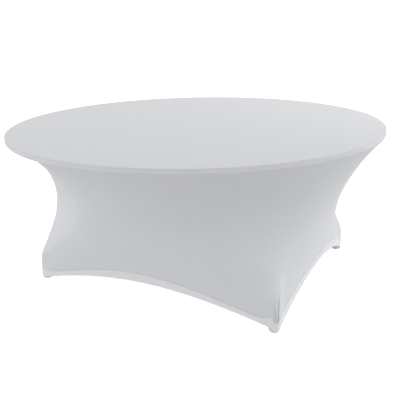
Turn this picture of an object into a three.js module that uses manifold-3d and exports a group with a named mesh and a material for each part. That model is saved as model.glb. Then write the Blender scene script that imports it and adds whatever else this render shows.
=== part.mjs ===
// A round folding banquet table under a fitted stretch cover.
// Millimetres, +Z up, origin on the floor under the middle of the table.
// X runs from leg frame to leg frame, and Y runs along each frame's pivot bar.

import * as THREE from "three";
import { mergeVertices } from "three/addons/utils/BufferGeometryUtils.js";
import Module from "manifold-3d";

const wasm = await Module();
wasm.setup();

// Driving dimensions: the covered table.
const HEIGHT = 762;
const RADIUS = 914.4;
const FABRIC = 1.4; // one layer of the knit, with its loft
const GAP = 0.3; // between pieces that touch

// The table top.
const TOP_THICKNESS = 19;
const TRIM_WIDTH = 3.4;
const RIM_FACETS = 72;

// The folding leg frames. Each foot stands outside its pivot, both ways.
const PIVOT_X = 475;
const PIVOT_HALF_LENGTH = 330;
const PIVOT_DROP = 30; // from the underside of the top to the pivot axis
const FOOT_X = 617;
const FOOT_Y = 495;
const TUBE_RADIUS = 12.7;
const TUBE_WALL = 1.5;
const TUBE_FACETS = 16;
const RUNNING = 0.5; // radial clearance of a bore that turns on its pin or bar

// Pivot brackets.
const BRACKET_INSET = 45; // from the end of the pivot bar to the bracket's middle
const BRACKET_WIDTH = 30;
const BRACKET_LENGTH = 92;
const BRACKET_WALL = 5;
const PLATE_THICKNESS = 3;

// Braces. The root pin and the leg pin are equally far from the pivot axis,
// and the two links are equally long, so the brace folds flat with the leg.
const BRACE_REACH = 360;
const LUG_REACH = 40; // from the leg pin on to the crossbar's axis
const LINK_WIDTH = 22;
const LINK_THICKNESS = 3;
const PIN_RADIUS = 4;
const PIN_HEAD = 7;
const PIN_HEAD_HEIGHT = 2;
const EAR_THICKNESS = 4;
const BRACE_PLATE_LENGTH = 70;
const BRACE_PLATE_WIDTH = 34;

// Screws into the underside of the top.
const SCREW_RADIUS = 2.2;
const SCREW_LENGTH = 14;
const SCREW_HEAD_RADIUS = 5;
const SCREW_HEAD_HEIGHT = 3;
const SCREW_FACETS = 8;
const SCREW_CLEARANCE = 0.4;

// Feet: a rubber cap on each tube, standing in the cover's foot pocket.
const CAP_WALL = 1.8;
const CAP_LENGTH = 34;
const CAP_SOLE = 6;
const POCKET_HEIGHT = 34;
const POCKET_CLEARANCE = 0.4; // round the leaning cap
const POCKET_SOLE = 1.6;

// The skirt: a membrane stretched from the rim of the top to the four feet.
const HEM_WIDTH = 50;
const HEM_GAP = 0.8; // between a panel and the hem sewn to it
const HEM_LAYERS = 1.6; // thickness of the doubled hem, in layers
const HEM_ABOVE_FLOOR = 1;
const FOOT_WRAP_CLEARANCE = 2.2; // between the pocket and the hem that rounds it
const FOOT_WRAP_ANGLE = 0.85; // how far round the foot the hem lies, each way
const FOOT_WRAP_HEIGHT = 127;
const FOOT_WRAP_SPAN = 0.55; // the part of the rim's turn that a foot gathers, in radians
// How far the hem has risen where it leaves a foot: on an end panel, and on a long
// panel at the foot with the seam and at the one without.
const END_HEM_LIFT = 15;
const SEAM_HEM_LIFT = 24;
const PLAIN_HEM_LIFT = 9;
const FOOT_COLUMNS = 8;
const END_COLUMNS = 10; // columns of each end panel, between feet
const LONG_COLUMNS = 16; // columns of each long panel
const SKIRT_ROWS = 16;
const SKIRT_RINGS = 10; // rings kept on the finished panel, above its hem
const SKIRT_START = 1; // below the edge band

// How hard the knit pulls, as force for each unit of strain. Down the skirt it
// grows towards the hem and eases over a foot; round it, it peaks under the
// rim and at the waist; the hem's own tape pulls hardest.
const DOWN_GROWTH = 2.379;
const FOOT_EASE = -0.3357;
const FOOT_EASE_SPREAD = 0.6035;
const RIM_PULL = 29;
const RIM_SPREAD = 0.0918;
const WAIST_PULL = 10.22;
const WAIST_AT = 0.2609;
const WAIST_SPREAD = 0.2437;
const END_PANEL_PULL = 0.1078;
const LONG_HEM_PULL = 2.117;
const END_HEM_PULL = 0.7064;
const SETTLING_PASSES = 600;
const SETTLING_OVERSHOOT = 1.8; // how far past its balance each point steps, to settle sooner

// Places worked out from the dimensions above.
const topZ = HEIGHT - FABRIC - GAP;
const undersideZ = topZ - TOP_THICKNESS;
const pivotZ = undersideZ - PIVOT_DROP;
const topRadius = RADIUS - FABRIC - GAP;
const footMiddleZ = POCKET_HEIGHT / 2;
const tilt = Math.atan2(FOOT_X - PIVOT_X, pivotZ - footMiddleZ);
const frameLength = Math.hypot(FOOT_X - PIVOT_X, pivotZ - footMiddleZ);
const splay = (FOOT_Y - PIVOT_HALF_LENGTH) / frameLength;
const crossbarReach = BRACE_REACH + LUG_REACH;
const linkLength = BRACE_REACH * Math.sin((Math.PI / 2 + tilt) / 2);
const earOffset = GAP + LINK_THICKNESS + 2 * GAP;
const lean = Math.atan2(
  Math.hypot(FOOT_X - PIVOT_X, FOOT_Y - PIVOT_HALF_LENGTH),
  pivotZ - footMiddleZ,
);
const capRadius = TUBE_RADIUS + GAP + CAP_WALL;
const pocketInner =
  capRadius / Math.cos(lean) + footMiddleZ * Math.tan(lean) + POCKET_CLEARANCE;
const pocketRadius = pocketInner + FABRIC;
const hemThickness = HEM_LAYERS * FABRIC;
const footWrapRadius = pocketRadius + hemThickness / 2 + FOOT_WRAP_CLEARANCE;
const boltX = BRACKET_LENGTH / 2 - SCREW_HEAD_RADIUS - 3;
const braceBoltX = BRACE_PLATE_LENGTH / 2 - SCREW_HEAD_RADIUS - 3;

const material = (color, roughness, metalness = 0) =>
  new THREE.MeshStandardMaterial({ color, roughness, metalness });
const FABRIC_WHITE = material(0xd6d7dc, 0.85);
const HEM_WHITE = material(0xdddee2, 0.85);
const POCKET_GREY = material(0xb9babd, 0.9);
const PLYWOOD = material(0xb98f5e, 0.6);
const VINYL = material(0x4b3a2c, 0.5);
const STEEL = material(0x4a3d33, 0.45, 0.6);
const ZINC = material(0xa8aaac, 0.35, 0.9);
const RUBBER = material(0x1d1d1e, 0.8);

const object = new THREE.Group();

function add(parent, name, geometry, look, position = [0, 0, 0]) {
  const piece = new THREE.Mesh(geometry, look);
  piece.name = name;
  piece.position.set(...position);
  parent.add(piece);
  return piece;
}

// Booleans.
function solidOf(geometry) {
  const bare = new THREE.BufferGeometry();
  bare.setAttribute("position", geometry.getAttribute("position").clone());
  if (geometry.index) bare.setIndex(geometry.index.clone());
  const merged = mergeVertices(bare, 1e-4);
  return new wasm.Manifold(
    new wasm.Mesh({
      numProp: 3,
      vertProperties: new Float32Array(merged.attributes.position.array),
      triVerts: new Uint32Array(merged.index.array),
    }),
  );
}

function geometryOf(solid) {
  const { vertProperties, triVerts, numProp } = solid.getMesh();
  const points = [];
  for (let i = 0; i < vertProperties.length; i += numProp) {
    points.push(...vertProperties.subarray(i, i + 3));
  }
  const geometry = new THREE.BufferGeometry();
  geometry.setAttribute("position", new THREE.Float32BufferAttribute(points, 3));
  geometry.setIndex([...triVerts]);
  return geometry;
}

const cut = (geometry, ...tools) =>
  geometryOf(tools.reduce((solid, tool) => solid.subtract(solidOf(tool)), solidOf(geometry)));
const keep = (geometry, tool) => geometryOf(solidOf(geometry).intersect(solidOf(tool)));
const join = (a, b) => geometryOf(solidOf(a).add(solidOf(b)));

// Round stock. Lathe profiles are [radius, height] pairs turned about +Z.
function turned(profile, facets) {
  const points = profile.map(([r, z]) => new THREE.Vector2(r, z));
  return new THREE.LatheGeometry(points, facets).rotateX(Math.PI / 2);
}

const ring = (inner, outer, bottom, top, facets) =>
  turned([[inner, bottom], [outer, bottom], [outer, top], [inner, top], [inner, bottom]], facets);
const disc = (radius, bottom, top, facets) =>
  turned([[0, bottom], [radius, bottom], [radius, top], [0, top]], facets);
const cylinder = (radius, length, facets) => disc(radius, -length / 2, length / 2, facets);

// Moves a shape made along +Z so that it runs from one point towards another.
function aimed(geometry, from, towards) {
  const direction = towards.clone().sub(from).normalize();
  const turn = new THREE.Quaternion().setFromUnitVectors(new THREE.Vector3(0, 0, 1), direction);
  return geometry.applyQuaternion(turn).translate(from.x, from.y, from.z);
}

// Flat stock: an outline in the XZ plane, `from` to `to` along Y.
function plate(outline, from, to) {
  const geometry = new THREE.ExtrudeGeometry(outline, {
    depth: to - from,
    bevelEnabled: false,
    curveSegments: TUBE_FACETS / 2,
  });
  return geometry.rotateX(Math.PI / 2).translate(0, to, 0);
}

function holeAt(outline, x, z, radius) {
  outline.holes.push(new THREE.Path().absarc(x, z, radius, 0, 2 * Math.PI, true));
}

// A strap with round ends about the origin and (length, 0).
function strap(length, width) {
  const outline = new THREE.Shape();
  outline.absarc(0, 0, width / 2, Math.PI / 2, 1.5 * Math.PI);
  outline.absarc(length, 0, width / 2, -Math.PI / 2, Math.PI / 2);
  return outline;
}

function screwAt(parent, name, x, y, headZ) {
  const profile = [
    [0, -SCREW_HEAD_HEIGHT],
    [SCREW_HEAD_RADIUS * 0.7, -SCREW_HEAD_HEIGHT],
    [SCREW_HEAD_RADIUS, -SCREW_HEAD_HEIGHT * 0.5],
    [SCREW_HEAD_RADIUS, 0],
    [SCREW_RADIUS, 0],
    [SCREW_RADIUS, SCREW_LENGTH],
    [0, SCREW_LENGTH],
  ];
  add(parent, name, turned(profile, SCREW_FACETS), ZINC, [x, y, headZ]);
}

const screwHole = (x, y, bottom, top) =>
  disc(SCREW_RADIUS + SCREW_CLEARANCE, bottom, top, SCREW_FACETS).translate(x, y, 0);

// Every screw sits under a plate of PLATE_THICKNESS against the underside.
const screwPlaces = [];
for (const side of [-1, 1]) {
  const sideName = side < 0 ? "left" : "right";
  for (const depth of [-1, 1]) {
    const depthName = depth < 0 ? "front" : "rear";
    for (const way of [-1, 1]) {
      const place = side * way < 0 ? "inner" : "outer";
      screwPlaces.push({
        name: `pivot_screw_${sideName}_${depthName}_${place}`,
        x: side * PIVOT_X + way * boltX,
        y: depth * (PIVOT_HALF_LENGTH - BRACKET_INSET),
      });
    }
  }
  for (const way of [-1, 1]) {
    screwPlaces.push({
      name: `brace_screw_${sideName}_${side * way < 0 ? "inner" : "outer"}`,
      x: side * (PIVOT_X - BRACE_REACH) + way * braceBoltX,
      y: 0,
    });
  }
}

// The table top, its edge trim and the screws.
function tableTop(parent) {
  const panelRadius = topRadius - TRIM_WIDTH - GAP;
  const holeTop = undersideZ - GAP - PLATE_THICKNESS - GAP + SCREW_LENGTH + 1;
  const holes = screwPlaces.map(({ x, y }) => screwHole(x, y, undersideZ - 1, holeTop));
  const panel = cut(disc(panelRadius, undersideZ, topZ, RIM_FACETS), ...holes);
  add(parent, "tabletop_panel", panel, PLYWOOD);
  const trim = ring(topRadius - TRIM_WIDTH, topRadius, undersideZ, topZ, RIM_FACETS);
  add(parent, "edge_trim", trim, VINYL);
  for (const { name, x, y } of screwPlaces) {
    screwAt(parent, name, x, y, undersideZ - 2 * GAP - PLATE_THICKNESS);
  }
}

// A saddle that holds the pivot bar: a plate with a round lug, bored for the bar.
function pivotBracket(parent, name, x, y) {
  const plateTop = PIVOT_DROP - GAP;
  const plateBottom = plateTop - PLATE_THICKNESS;
  const lug = TUBE_RADIUS + RUNNING + BRACKET_WALL;
  const outline = new THREE.Shape();
  outline.moveTo(-BRACKET_LENGTH / 2, plateBottom);
  outline.lineTo(-lug, plateBottom);
  outline.lineTo(-lug, 0);
  outline.absarc(0, 0, lug, Math.PI, 2 * Math.PI);
  outline.lineTo(lug, plateBottom);
  outline.lineTo(BRACKET_LENGTH / 2, plateBottom);
  outline.lineTo(BRACKET_LENGTH / 2, plateTop);
  outline.lineTo(-BRACKET_LENGTH / 2, plateTop);
  holeAt(outline, 0, 0, TUBE_RADIUS + RUNNING);
  const body = plate(outline, -BRACKET_WIDTH / 2, BRACKET_WIDTH / 2);
  const holes = [-boltX, boltX].map((way) => screwHole(way, 0, plateBottom - 1, plateTop + 1));
  add(parent, name, cut(body, ...holes), STEEL, [x, y, pivotZ]);
}

// The brace's root bracket: a plate with one ear, on the far side of the upper link.
function braceBracket(parent, name, x, side) {
  const plateTop = PIVOT_DROP - GAP;
  const plateBottom = plateTop - PLATE_THICKNESS;
  const base = new THREE.Shape();
  base.moveTo(-BRACE_PLATE_LENGTH / 2, plateBottom);
  base.lineTo(BRACE_PLATE_LENGTH / 2, plateBottom);
  base.lineTo(BRACE_PLATE_LENGTH / 2, plateTop);
  base.lineTo(-BRACE_PLATE_LENGTH / 2, plateTop);
  const ear = new THREE.Shape();
  ear.absarc(0, 0, LINK_WIDTH / 2, Math.PI, 2 * Math.PI);
  ear.lineTo(LINK_WIDTH / 2, plateTop - GAP);
  ear.lineTo(-LINK_WIDTH / 2, plateTop - GAP);
  holeAt(ear, 0, 0, PIN_RADIUS + GAP);
  const joined = join(
    plate(base, -BRACE_PLATE_WIDTH / 2, BRACE_PLATE_WIDTH / 2),
    plate(ear, earOffset, earOffset + EAR_THICKNESS),
  );
  const holes = [-braceBoltX, braceBoltX].map((way) =>
    screwHole(way, 0, plateBottom - 1, plateTop + 1),
  );
  const piece = add(parent, name, cut(joined, ...holes), STEEL, [x, 0, pivotZ]);
  if (side < 0) piece.rotation.z = Math.PI;
}

// A rivet on the +Y side of the brace's middle plane, through one link and, where
// it has one, an ear. It stops short of the middle plane.
function rivet(withEar) {
  const headStart = withEar ? earOffset + EAR_THICKNESS + GAP : LINK_THICKNESS + 3 * GAP;
  const profile = [
    [0, 2 * GAP],
    [PIN_RADIUS, 2 * GAP],
    [PIN_RADIUS, headStart],
    [PIN_HEAD, headStart],
    [PIN_HEAD, headStart + PIN_HEAD_HEIGHT / 2],
    [PIN_HEAD / 2, headStart + PIN_HEAD_HEIGHT],
    [0, headStart + PIN_HEAD_HEIGHT],
  ];
  return turned(profile, TUBE_FACETS).rotateX(-Math.PI / 2);
}

// One leg frame with its feet and pockets, made for the +X side about its pivot
// axis. The -X frame is the same one turned half a turn about Z.
function legFrame(side) {
  const sideName = side < 0 ? "left" : "right";
  const frame = new THREE.Group();
  frame.position.set(side * PIVOT_X, 0, pivotZ);
  if (side < 0) frame.rotation.z = Math.PI;

  // A point of the frame's plane, `reach` down from the pivot axis and `y` along it.
  const inPlane = (reach, y) =>
    new THREE.Vector3(Math.sin(tilt) * reach, y, -Math.cos(tilt) * reach);
  const halfWidthAt = (reach) => PIVOT_HALF_LENGTH + splay * reach;

  const bar = ring(
    TUBE_RADIUS - TUBE_WALL,
    TUBE_RADIUS,
    -PIVOT_HALF_LENGTH,
    PIVOT_HALF_LENGTH,
    TUBE_FACETS,
  );
  add(frame, `pivot_bar_${sideName}`, bar.rotateX(Math.PI / 2), STEEL);
  const barEnvelope = () =>
    cylinder(TUBE_RADIUS + GAP, 2 * PIVOT_HALF_LENGTH + 2 * GAP, TUBE_FACETS).rotateX(Math.PI / 2);

  for (const way of [-1, 1]) {
    const depthName = side * way < 0 ? "front" : "rear";
    const where = `${sideName}_${depthName}`;
    const start = inPlane(0, way * (PIVOT_HALF_LENGTH - TUBE_RADIUS));
    const foot = inPlane(frameLength, way * FOOT_Y);
    const floorZ = -pivotZ;
    const axis = foot.clone().sub(start).normalize();
    const slant = -axis.z;
    const legEnd = start.distanceTo(foot) + (footMiddleZ - POCKET_SOLE - GAP - CAP_SOLE) / slant;
    const tube = ring(TUBE_RADIUS - TUBE_WALL, TUBE_RADIUS, 0, legEnd, TUBE_FACETS);
    add(frame, `leg_${where}`, cut(aimed(tube, start, foot), barEnvelope()), STEEL);

    const capBore = disc(TUBE_RADIUS + GAP, 0, legEnd + GAP, TUBE_FACETS);
    const capBody = disc(
      capRadius,
      legEnd - CAP_LENGTH + CAP_SOLE,
      legEnd + 3 * CAP_SOLE,
      TUBE_FACETS,
    );
    const overSole = new THREE.BoxGeometry(200, 200, 200).translate(
      foot.x,
      foot.y,
      floorZ + POCKET_SOLE + GAP + 100,
    );
    const capWhole = keep(aimed(capBody, start, foot), overSole);
    add(frame, `foot_cap_${where}`, cut(capWhole, aimed(capBore, start, foot)), RUBBER);

    const pocket = turned(
      [
        [0, 0],
        [pocketRadius, 0],
        [pocketRadius, POCKET_HEIGHT],
        [pocketInner, POCKET_HEIGHT],
        [pocketInner, POCKET_SOLE],
        [0, POCKET_SOLE],
      ],
      TUBE_FACETS,
    );
    add(frame, `foot_pocket_${where}`, pocket, POCKET_GREY, [foot.x, foot.y, floorZ]);
  }

  // The crossbar runs from leg to leg, coped to both.
  const crossHalf = halfWidthAt(crossbarReach);
  const crossbar = ring(TUBE_RADIUS - TUBE_WALL, TUBE_RADIUS, 0, 2 * crossHalf, TUBE_FACETS);
  const legEnvelopes = [-1, 1].map((way) => {
    const start = inPlane(0, way * (PIVOT_HALF_LENGTH - TUBE_RADIUS));
    const foot = inPlane(frameLength, way * FOOT_Y);
    return aimed(disc(TUBE_RADIUS + GAP, 0, frameLength, TUBE_FACETS), start, foot);
  });
  const crossStart = inPlane(crossbarReach, -crossHalf + TUBE_RADIUS);
  const crossEnd = inPlane(crossbarReach, crossHalf);
  const crossSolid = solidOf(aimed(crossbar, crossStart, crossEnd));
  const betweenLegs = new THREE.BoxGeometry(4 * TUBE_RADIUS, 2 * crossHalf, 4 * TUBE_RADIUS);
  betweenLegs.translate(inPlane(crossbarReach, 0).x, 0, inPlane(crossbarReach, 0).z);
  const coped = legEnvelopes.reduce(
    (solid, leg) => solid.subtract(solidOf(leg)),
    crossSolid.intersect(solidOf(betweenLegs)),
  );
  const pieces = coped.decompose().sort((a, b) => b.volume() - a.volume());
  add(frame, `crossbar_${sideName}`, geometryOf(pieces[0]), STEEL);

  // The brace's lug stands on the crossbar and points back to the pivot axis.
  const lugOutline = strap(LUG_REACH, LINK_WIDTH);
  holeAt(lugOutline, 0, 0, PIN_RADIUS + GAP);
  const lug = plate(lugOutline, -earOffset - EAR_THICKNESS, -earOffset).rotateY(
    Math.PI / 2 - tilt,
  );
  const pinPlace = inPlane(BRACE_REACH, 0);
  lug.translate(pinPlace.x, 0, pinPlace.z);
  const crossEnvelope = cylinder(TUBE_RADIUS + GAP, 100, TUBE_FACETS).rotateX(Math.PI / 2);
  crossEnvelope.translate(inPlane(crossbarReach, 0).x, 0, inPlane(crossbarReach, 0).z);
  const lugPieces = solidOf(lug)
    .subtract(solidOf(crossEnvelope))
    .decompose()
    .sort((a, b) => b.volume() - a.volume());
  add(frame, `brace_lug_${sideName}`, geometryOf(lugPieces[0]), STEEL);
  const legRivet = rivet(true).rotateZ(Math.PI);
  add(frame, `leg_pin_${sideName}`, legRivet, ZINC, pinPlace.toArray());
  return frame;
}

// The brace of one frame: the upper link from the root bracket and the lower
// link from the frame's lug, meeting at the elbow in neighbouring planes.
function brace(side) {
  const sideName = side < 0 ? "left" : "right";
  const group = new THREE.Group();
  group.position.set(side * PIVOT_X, 0, pivotZ);
  if (side < 0) group.rotation.z = Math.PI;
  const root = new THREE.Vector3(-BRACE_REACH, 0, 0);
  const leg = new THREE.Vector3(
    Math.sin(tilt) * BRACE_REACH,
    0,
    -Math.cos(tilt) * BRACE_REACH,
  );
  const slope = Math.atan2(root.z - leg.z, leg.x - root.x);
  const link = strap(linkLength, LINK_WIDTH);
  for (const x of [0, linkLength]) holeAt(link, x, 0, PIN_RADIUS + RUNNING);
  const upper = plate(link, GAP, GAP + LINK_THICKNESS).rotateY(slope);
  add(group, `upper_link_${sideName}`, upper, STEEL, root.toArray());
  const lower = plate(link, -GAP - LINK_THICKNESS, -GAP).rotateY(slope + Math.PI);
  add(group, `lower_link_${sideName}`, lower, STEEL, leg.toArray());
  add(group, `root_pin_${sideName}`, rivet(true), ZINC, root.toArray());
  const elbow = root.clone().add(leg).multiplyScalar(0.5);
  add(group, `elbow_rivet_${sideName}`, rivet(false), ZINC, elbow.toArray());
  return group;
}

// The skirt's columns start evenly round the rim between feet and gather at each foot.
function columnAngles() {
  const footAngle = Math.atan2(FOOT_Y, FOOT_X);
  const quarter = [
    { from: -footAngle, to: footAngle, count: END_COLUMNS, end: true },
    { from: footAngle, to: Math.PI - footAngle, count: LONG_COLUMNS, end: false },
    { from: Math.PI - footAngle, to: Math.PI + footAngle, count: END_COLUMNS, end: true },
    { from: Math.PI + footAngle, to: 2 * Math.PI - footAngle, count: LONG_COLUMNS, end: false },
  ];
  const columns = [];
  const half = FOOT_COLUMNS / 2;
  for (const { from, to, count, end } of quarter) {
    const first = from + FOOT_WRAP_SPAN / 2;
    const last = to - FOOT_WRAP_SPAN / 2;
    for (let i = 0; i < half; i++) {
      const share = i / half;
      columns.push({ angle: from + (share * FOOT_WRAP_SPAN) / 2, foot: from, wrap: share, end });
    }
    for (let i = 0; i <= count; i++) {
      const angle = first + ((last - first) * i) / count;
      const foot = { 0: from, [count]: to }[i] ?? null;
      columns.push({ angle, foot, wrap: i === 0 ? 1 : -1, end });
    }
    for (let i = half - 1; i > 0; i--) {
      const share = i / half;
      columns.push({ angle: to - (share * FOOT_WRAP_SPAN) / 2, foot: to, wrap: -share, end });
    }
  }
  return columns;
}

// Settles the membrane: every free point moves to the mean of its neighbours,
// weighted by the pull towards each, until nothing moves.
function stretchedSkirt() {
  const columns = columnAngles();
  const count = columns.length;
  const rows = SKIRT_ROWS;
  const footAngle = Math.atan2(FOOT_Y, FOOT_X);
  const feet = [footAngle, Math.PI - footAngle, Math.PI + footAngle, 2 * Math.PI - footAngle];
  const rimZ = undersideZ - SKIRT_START;
  const rimRadius = RADIUS - FABRIC / 2;
  const turn = (a) => ((a % (2 * Math.PI)) + 3 * Math.PI) % (2 * Math.PI) - Math.PI;
  const awayFromFoot = (a) => Math.min(...feet.map((f) => Math.abs(turn(a - f))));
  const gapAfter = columns.map((c, i) => {
    const next = columns[(i + 1) % count].angle + (i + 1 === count ? 2 * Math.PI : 0);
    return (next - c.angle) / (2 * Math.PI);
  });
  const hoopPull = (v, end) => {
    const waist = WAIST_PULL * Math.exp(-(((v - WAIST_AT) / WAIST_SPREAD) ** 2));
    const rim = RIM_PULL * Math.exp(-((v / RIM_SPREAD) ** 2));
    return (waist + rim) * (end ? END_PANEL_PULL : 1);
  };
  const points = [];
  const fixed = [];
  const down = [];
  const round = [];
  columns.forEach((column, i) => {
    const width = (gapAfter[i] + gapAfter[(i + count - 1) % count]) / 2;
    const away = awayFromFoot(column.angle);
    const ease = 1 + FOOT_EASE * Math.exp(-((away / FOOT_EASE_SPREAD) ** 2));
    const hemPull = column.end ? END_HEM_PULL : LONG_HEM_PULL;
    points.push([]);
    fixed.push([]);
    down.push([]);
    round.push([]);
    for (let j = 0; j <= rows; j++) {
      const v = j / rows;
      const [c, s] = [Math.cos(column.angle), Math.sin(column.angle)];
      points[i].push(new THREE.Vector3(rimRadius * c, rimRadius * s, rimZ * (1 - v)));
      fixed[i].push(j === 0);
      down[i].push(width * rows * ease * (1 + DOWN_GROWTH * (v + 0.5 / rows)));
      const share = (j === 0 || j === rows ? 0.5 : 1) / rows;
      const strip = hoopPull(v, column.end) * share + (j === rows ? hemPull : 0);
      round[i].push(strip / gapAfter[i] / (2 * Math.PI) ** 2);
    }
    if (column.foot === null) return;
    const footX = Math.sign(Math.cos(column.foot)) * FOOT_X;
    const footY = Math.sign(Math.sin(column.foot)) * FOOT_Y;
    const angle = column.foot + column.wrap * FOOT_WRAP_ANGLE;
    const sideLift = column.wrap < 0 ? SEAM_HEM_LIFT : PLAIN_HEM_LIFT;
    const hemZ = HEM_ABOVE_FLOOR + (column.end ? END_HEM_LIFT : sideLift) * column.wrap ** 2;
    for (let j = rows - 1; j <= rows; j++) {
      points[i][j].set(
        footX + footWrapRadius * Math.cos(angle),
        footY + footWrapRadius * Math.sin(angle),
        j === rows ? hemZ : FOOT_WRAP_HEIGHT,
      );
      fixed[i][j] = true;
    }
  });
  const sum = new THREE.Vector3();
  for (let pass = 0; pass < SETTLING_PASSES; pass++) {
    for (let i = 0; i < count; i++) {
      const before = (i + count - 1) % count;
      const after = (i + 1) % count;
      for (let j = 1; j <= rows; j++) {
        if (fixed[i][j]) continue;
        const pulls = [
          [points[i][j - 1], down[i][j - 1]],
          [points[before][j], round[before][j]],
          [points[after][j], round[i][j]],
        ];
        if (j < rows) pulls.push([points[i][j + 1], down[i][j]]);
        sum.set(0, 0, 0);
        let total = 0;
        for (const [point, pull] of pulls) {
          sum.addScaledVector(point, pull);
          total += pull;
        }
        points[i][j].lerp(sum.divideScalar(total), SETTLING_OVERSHOOT);
      }
    }
  }
  return { columns, points };
}

// Points along a polyline at the given distances from its start.
function alongLine(line, distances) {
  const lengths = [0];
  for (let k = 1; k < line.length; k++) {
    lengths.push(lengths[k - 1] + line[k].distanceTo(line[k - 1]));
  }
  const whole = lengths[lengths.length - 1];
  return distances(whole).map((distance) => {
    let k = 1;
    while (k < line.length - 1 && lengths[k] < distance) k++;
    const share = (distance - lengths[k - 1]) / (lengths[k] - lengths[k - 1]);
    return line[k - 1].clone().lerp(line[k], share);
  });
}

// A closed sheet of even thickness about a grid of points, columns first. The
// end columns are drawn in by half a gap so that neighbouring sheets stay apart.
function sheet(grid, normals, thickness) {
  const columns = grid.length;
  const rows = grid[0].length;
  const placed = grid.map((column) => column.map((point) => point.clone()));
  for (const [end, next] of [[0, 1], [columns - 1, columns - 2]]) {
    for (let j = 0; j < rows; j++) {
      const inward = grid[next][j].clone().sub(grid[end][j]).normalize();
      placed[end][j].addScaledVector(inward, GAP);
    }
  }
  const positions = [];
  for (const half of [thickness / 2, -thickness / 2]) {
    for (let i = 0; i < columns; i++) {
      for (let j = 0; j < rows; j++) {
        const point = placed[i][j].clone().addScaledVector(normals[i][j], half);
        positions.push(point.x, point.y, point.z);
      }
    }
  }
  const at = (layer, i, j) => (layer * columns + i) * rows + j;
  const index = [];
  const quad = (a, b, c, d) => index.push(a, b, c, a, c, d);
  for (let i = 0; i + 1 < columns; i++) {
    for (let j = 0; j + 1 < rows; j++) {
      quad(at(0, i, j), at(0, i, j + 1), at(0, i + 1, j + 1), at(0, i + 1, j));
      quad(at(1, i, j), at(1, i + 1, j), at(1, i + 1, j + 1), at(1, i, j + 1));
    }
    quad(at(0, i, 0), at(0, i + 1, 0), at(1, i + 1, 0), at(1, i, 0));
    const last = rows - 1;
    quad(at(0, i, last), at(1, i, last), at(1, i + 1, last), at(0, i + 1, last));
  }
  for (let j = 0; j + 1 < rows; j++) {
    const last = columns - 1;
    quad(at(0, 0, j), at(1, 0, j), at(1, 0, j + 1), at(0, 0, j + 1));
    quad(at(0, last, j), at(0, last, j + 1), at(1, last, j + 1), at(1, last, j));
  }
  const geometry = new THREE.BufferGeometry();
  geometry.setAttribute("position", new THREE.Float32BufferAttribute(positions, 3));
  geometry.setIndex(index);
  return geometry;
}

function gridNormals(grid) {
  const count = grid.length;
  return grid.map((column, i) =>
    column.map((point, j) => {
      const around = grid[(i + 1) % count][j].clone().sub(grid[(i + count - 1) % count][j]);
      const upper = column[Math.max(j - 1, 0)];
      const lower = column[Math.min(j + 1, column.length - 1)];
      return around.cross(upper.clone().sub(lower)).normalize();
    }),
  );
}

function cover(parent) {
  add(parent, "cover_top", disc(RADIUS - FABRIC - GAP, HEIGHT - FABRIC, HEIGHT, RIM_FACETS), FABRIC_WHITE);
  const band = ring(RADIUS - FABRIC, RADIUS, undersideZ, HEIGHT, RIM_FACETS);
  add(parent, "cover_edge_band", band, FABRIC_WHITE);

  const { columns, points } = stretchedSkirt();
  const skirtGrid = points.map((line) =>
    alongLine(line, (whole) =>
      Array.from(
        { length: SKIRT_RINGS + 1 },
        (_, k) => ((whole - HEM_WIDTH - HEM_GAP) * k) / SKIRT_RINGS,
      ),
    ),
  );
  const hemGrid = points.map((line) =>
    alongLine(line, (whole) => [whole - HEM_WIDTH, whole]),
  );
  const skirtNormals = gridNormals(skirtGrid);
  const hemNormals = gridNormals(hemGrid);
  const isFootMiddle = (k) => columns[k].foot !== null && columns[k].wrap === 0;
  const feet = columns.map((_, k) => k).filter(isFootMiddle);
  const piece = (grid, from, to) => {
    const taken = [];
    for (let k = from; k <= to; k++) taken.push(grid[k % grid.length]);
    return taken;
  };
  const count = columns.length;
  // Feet in order: right front, right rear, left rear, left front.
  const panels = [
    ["skirt_panel_rear_right", feet[0], feet[2]],
    ["skirt_panel_front_left", feet[2], feet[0] + count],
  ];
  for (const [name, from, to] of panels) {
    const geometry = sheet(piece(skirtGrid, from, to), piece(skirtNormals, from, to), FABRIC);
    add(parent, name, geometry, FABRIC_WHITE);
  }
  const bands = [
    ["hem_band_right", feet[0], feet[1]],
    ["hem_band_rear", feet[1], feet[2]],
    ["hem_band_left", feet[2], feet[3]],
    ["hem_band_front", feet[3], feet[0] + count],
  ];
  for (const [name, from, to] of bands) {
    const geometry = sheet(piece(hemGrid, from, to), piece(hemNormals, from, to), hemThickness);
    add(parent, name, geometry, HEM_WHITE);
  }
}

tableTop(object);
for (const side of [-1, 1]) {
  const sideName = side < 0 ? "left" : "right";
  for (const depth of [-1, 1]) {
    const name = `pivot_bracket_${sideName}_${depth < 0 ? "front" : "rear"}`;
    pivotBracket(object, name, side * PIVOT_X, depth * (PIVOT_HALF_LENGTH - BRACKET_INSET));
  }
  braceBracket(object, `brace_bracket_${sideName}`, side * (PIVOT_X - BRACE_REACH), side);
  object.add(legFrame(side));
  object.add(brace(side));
}
cover(object);

export default object;
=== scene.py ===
"""A white fitted stretch cover on a round folding banquet table: its looks, built around the CAD frame.

Metres, +Z up. X runs from leg frame to leg frame, and the front of the table faces -Y.
"""

import math

import bpy
import numpy as np
from mathutils import Matrix, Vector


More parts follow.
